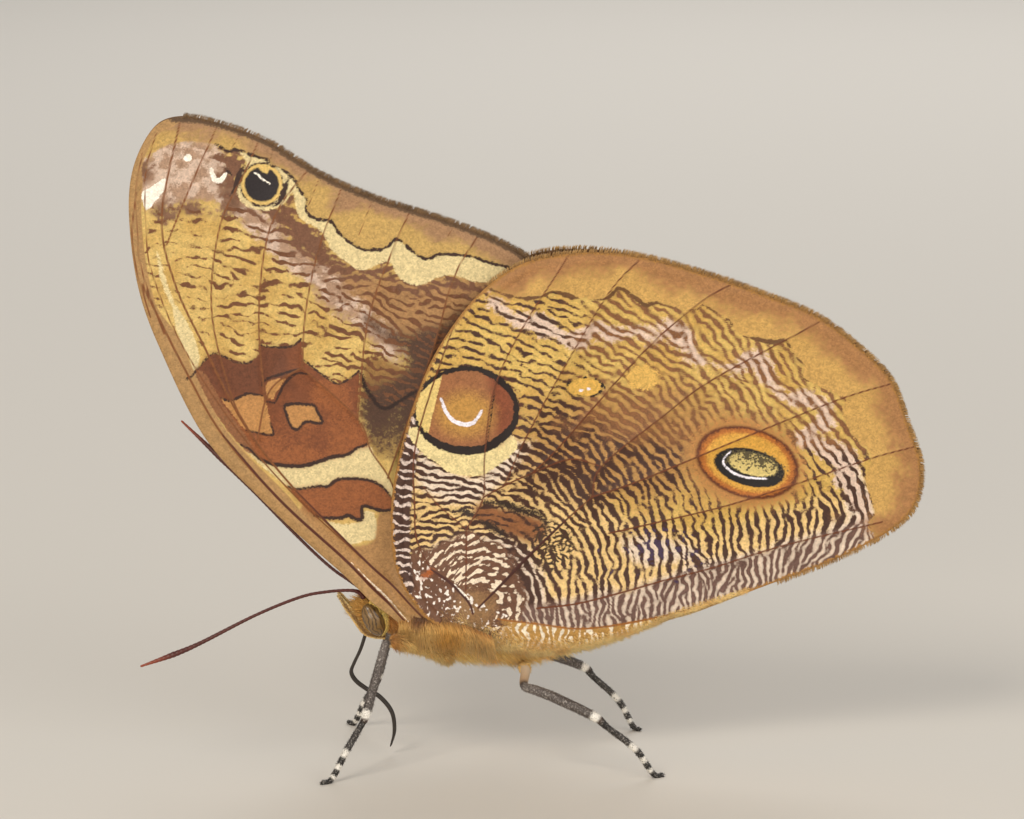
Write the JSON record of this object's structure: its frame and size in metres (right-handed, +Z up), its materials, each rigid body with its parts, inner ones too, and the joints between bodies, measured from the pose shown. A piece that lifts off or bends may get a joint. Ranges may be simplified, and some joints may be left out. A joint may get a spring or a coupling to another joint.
{
  "type": "opoptera staudingeri butterfly",
  "caption": "Still, life-size butterfly standing with its wings closed upright: patterned fore and hind wings with eyespots, furry trunk, clubbed antennae, palps, tongue and legs.",
  "frame": {"origin": "centre of the bounding box, on the floor that the feet stand on", "axes": "+X from head to tail, +Y to the animal's right, +Z up"},
  "size_m": [0.0608, 0.0172, 0.0503],
  "materials": {
    "forewing_scales": "fine powdery scales in gold, cream and chestnut, matt with a faint sheen",
    "hindwing_scales": "fine powdery scales in gold with dark ripples and two eyespots, matt with a faint sheen",
    "body_fur": "dense golden fur",
    "abdomen_fur": "short golden fur",
    "head_scales": "short brown and yellow scales",
    "eye": "glossy brown with darker bands",
    "palp_scales": "yellow and brown scale brush",
    "proboscis": "dark smooth chitin",
    "antenna": "dark maroon chitin with an orange-red tip",
    "foreleg_fur": "golden brown hair brush",
    "leg_scales": "grey and black scales with white bands"
  },
  "bodies": {
    "root": {"forewing_left": "forewing_scales", "forewing_right": "forewing_scales", "hindwing_left": "hindwing_scales", "hindwing_right": "hindwing_scales", "thorax": "body_fur", "abdomen": "abdomen_fur", "head": "head_scales", "eye_left": "eye", "eye_right": "eye", "palp_left": "palp_scales", "palp_right": "palp_scales", "proboscis": "proboscis", "antenna_left": "antenna", "antenna_right": "antenna", "foreleg_left": "foreleg_fur", "foreleg_right": "foreleg_fur", "midleg_left": "leg_scales", "midleg_right": "leg_scales", "hindleg_left": "leg_scales", "hindleg_right": "leg_scales"}
  },
  "joints": []
}
